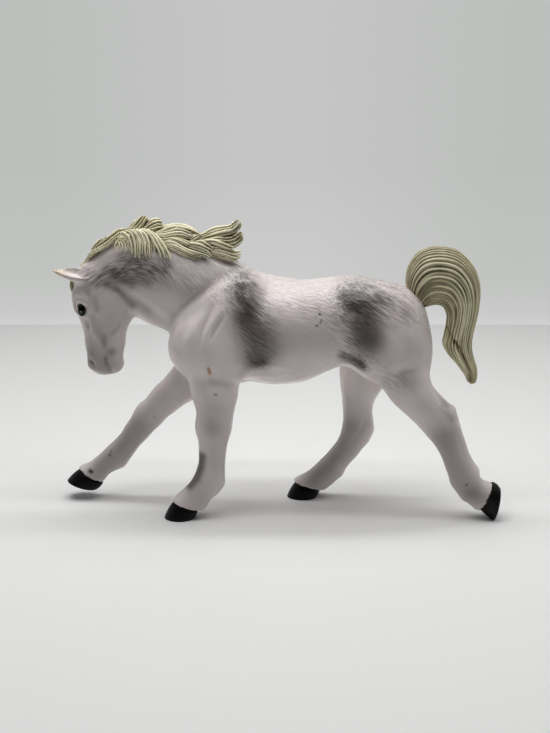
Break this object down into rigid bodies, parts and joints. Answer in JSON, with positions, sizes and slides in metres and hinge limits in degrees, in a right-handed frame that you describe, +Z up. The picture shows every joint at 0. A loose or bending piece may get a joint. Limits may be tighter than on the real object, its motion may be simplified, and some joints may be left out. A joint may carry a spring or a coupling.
{
  "type": "toy horse figure",
  "caption": "Toy horse figure in a long, low-headed trot, with swept mane, arched tail, black hooves and gloss eyes; stands free on its hooves.",
  "frame": {"origin": "middle of the bounding box on the ground plane, under the belly", "axes": "-X towards the nose and +X towards the tail, -Y the horse's near (left) side, +Z up"},
  "size_m": [0.1474, 0.0344, 0.0994],
  "materials": {
    "painted_vinyl": "airbrushed matt paint on vinyl, off-white with grey shading",
    "black_paint": "satin black brush paint",
    "dusty_yellow_paint": "matt cream paint with a brown wash in the grooves",
    "gloss_black_paint": "gloss lacquer"
  },
  "bodies": {
    "root": {"torso": "painted_vinyl", "neck_and_head": "painted_vinyl", "near_fore_leg": "painted_vinyl", "near_fore_hoof": "black_paint", "off_fore_leg": "painted_vinyl", "off_fore_hoof": "black_paint", "off_hind_leg": "painted_vinyl", "off_hind_hoof": "black_paint", "near_hind_leg": "painted_vinyl", "near_hind_hoof": "black_paint", "tail": "dusty_yellow_paint", "mane": "dusty_yellow_paint", "forelock": "dusty_yellow_paint", "near_eye": "gloss_black_paint", "off_eye": "gloss_black_paint"}
  },
  "joints": []
}
